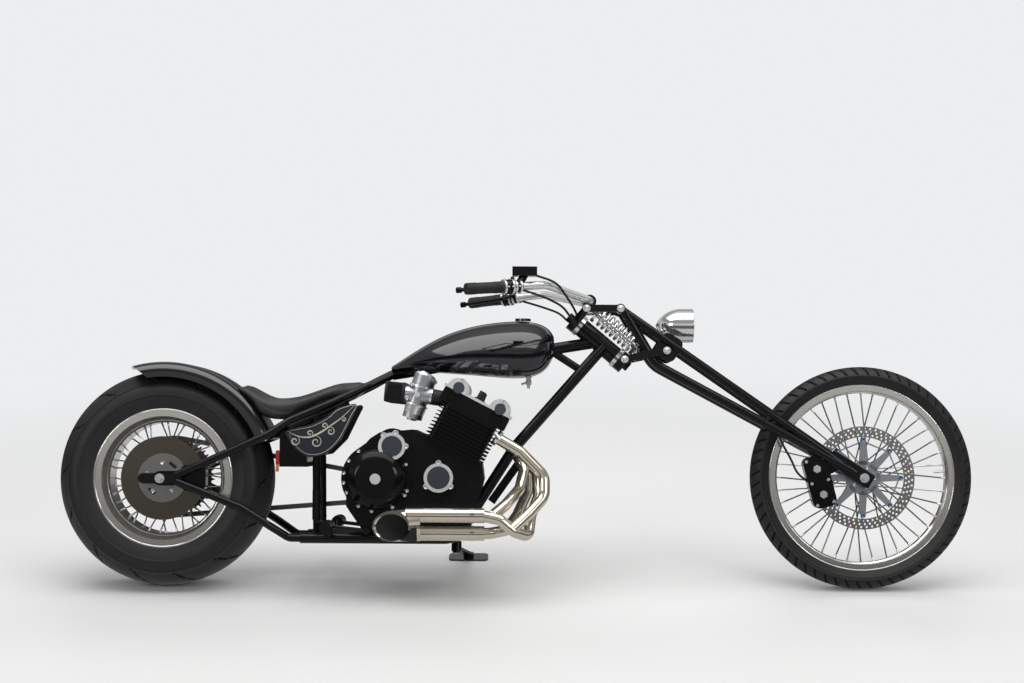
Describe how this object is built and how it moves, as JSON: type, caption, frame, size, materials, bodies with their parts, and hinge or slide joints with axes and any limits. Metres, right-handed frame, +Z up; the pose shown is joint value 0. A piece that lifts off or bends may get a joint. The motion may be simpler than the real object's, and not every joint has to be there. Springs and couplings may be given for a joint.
{
  "type": "chopper motorcycle",
  "caption": "Long-fork chopper motorcycle with a girder fork, rigid frame and inline engine, leaning on its side stand.",
  "frame": {"origin": "centre of the bounding box's base, on the ground", "axes": "+X forward along the bike, +Y to the rider's left, the way it leans, +Z up from the ground"},
  "size_m": [2.8098, 0.7742, 1.0043],
  "materials": {
    "tyre": "satin",
    "rim": "polished",
    "wheel_steel": "polished",
    "disc_steel": "ground",
    "frame_paint": "gloss",
    "body_paint": "gloss",
    "engine_black": "satin paint",
    "polished_alloy": "polished",
    "cast_alloy": "as cast",
    "chrome": "polished",
    "exhaust_steel": "polished",
    "seat_leather": "satin",
    "rubber": "matte",
    "filter_black": "matte",
    "lens_glass": "clear",
    "lamp_red": "gloss",
    "panel_paint": "gloss",
    "chain_steel": "oiled"
  },
  "bodies": {
    "rear_wheel": {"rear_tyre": "tyre", "rear_rim": "rim", "rear_hub": "wheel_steel", "rear_disc": "disc_steel", "rear_sprocket": "chain_steel"},
    "front_wheel": {"front_tyre": "tyre", "front_rim": "rim", "front_hub": "wheel_steel", "front_disc": "disc_steel"},
    "steering": {"steering_yokes": "frame_paint", "fork_links": "frame_paint", "girder_legs": "frame_paint", "front_axle": "chrome", "handlebar": "polished_alloy", "grips": "rubber", "right_controls": "engine_black", "left_controls": "engine_black", "headlamp": "chrome", "headlamp_lens": "lens_glass", "fork_spring": "chrome", "front_caliper": "engine_black", "control_cables": "rubber"},
    "side_stand": {"side_stand": "frame_paint"},
    "frame": {"frame_front": "frame_paint", "head_cups": "chrome", "frame_cradle": "frame_paint", "frame_rear": "frame_paint", "stand_bracket": "frame_paint", "rear_axle": "chrome", "crankcase": "engine_black", "cylinder_block": "engine_black", "cylinder_head": "engine_black", "cam_cover": "polished_alloy", "clutch_cover": "engine_black", "round_covers": "polished_alloy", "carburettors": "cast_alloy", "air_filters": "filter_black", "exhaust": "exhaust_steel", "oil_cooler": "engine_black", "fuel_tank": "body_paint", "fuel_cap": "body_paint", "seat": "seat_leather", "rear_fender": "body_paint", "rear_caliper": "engine_black", "drive_chain": "chain_steel", "output_sprocket": "chain_steel", "battery_box": "engine_black", "side_panels": "panel_paint", "foot_controls": "frame_paint", "tail_lamp": "lamp_red"}
  },
  "joints": [
    {"name": "steering", "type": "hinge", "parent": "frame", "child": "steering", "pos_m": [0.19944, 0.02743, 0.78532], "axis": [-0.7654, 0.1336, 0.6295], "range_deg": [-30, 30]},
    {"name": "front_wheel_spin", "type": "hinge", "parent": "steering", "child": "front_wheel", "pos_m": [1.063, -0.068, 0.33551], "axis": [-0.0002, 0.9781, -0.2079], "continuous": true},
    {"name": "rear_wheel_spin", "type": "hinge", "parent": "frame", "child": "rear_wheel", "pos_m": [-1.075, -0.0705, 0.32585], "axis": [-0.0002, 0.9781, -0.2079], "continuous": true},
    {"name": "side_stand_fold", "type": "hinge", "parent": "frame", "child": "side_stand", "pos_m": [-0.18724, 0.03244, 0.07819], "axis": [0.0009, 0.3588, 0.9334], "range_deg": [0, 95]}
  ]
}
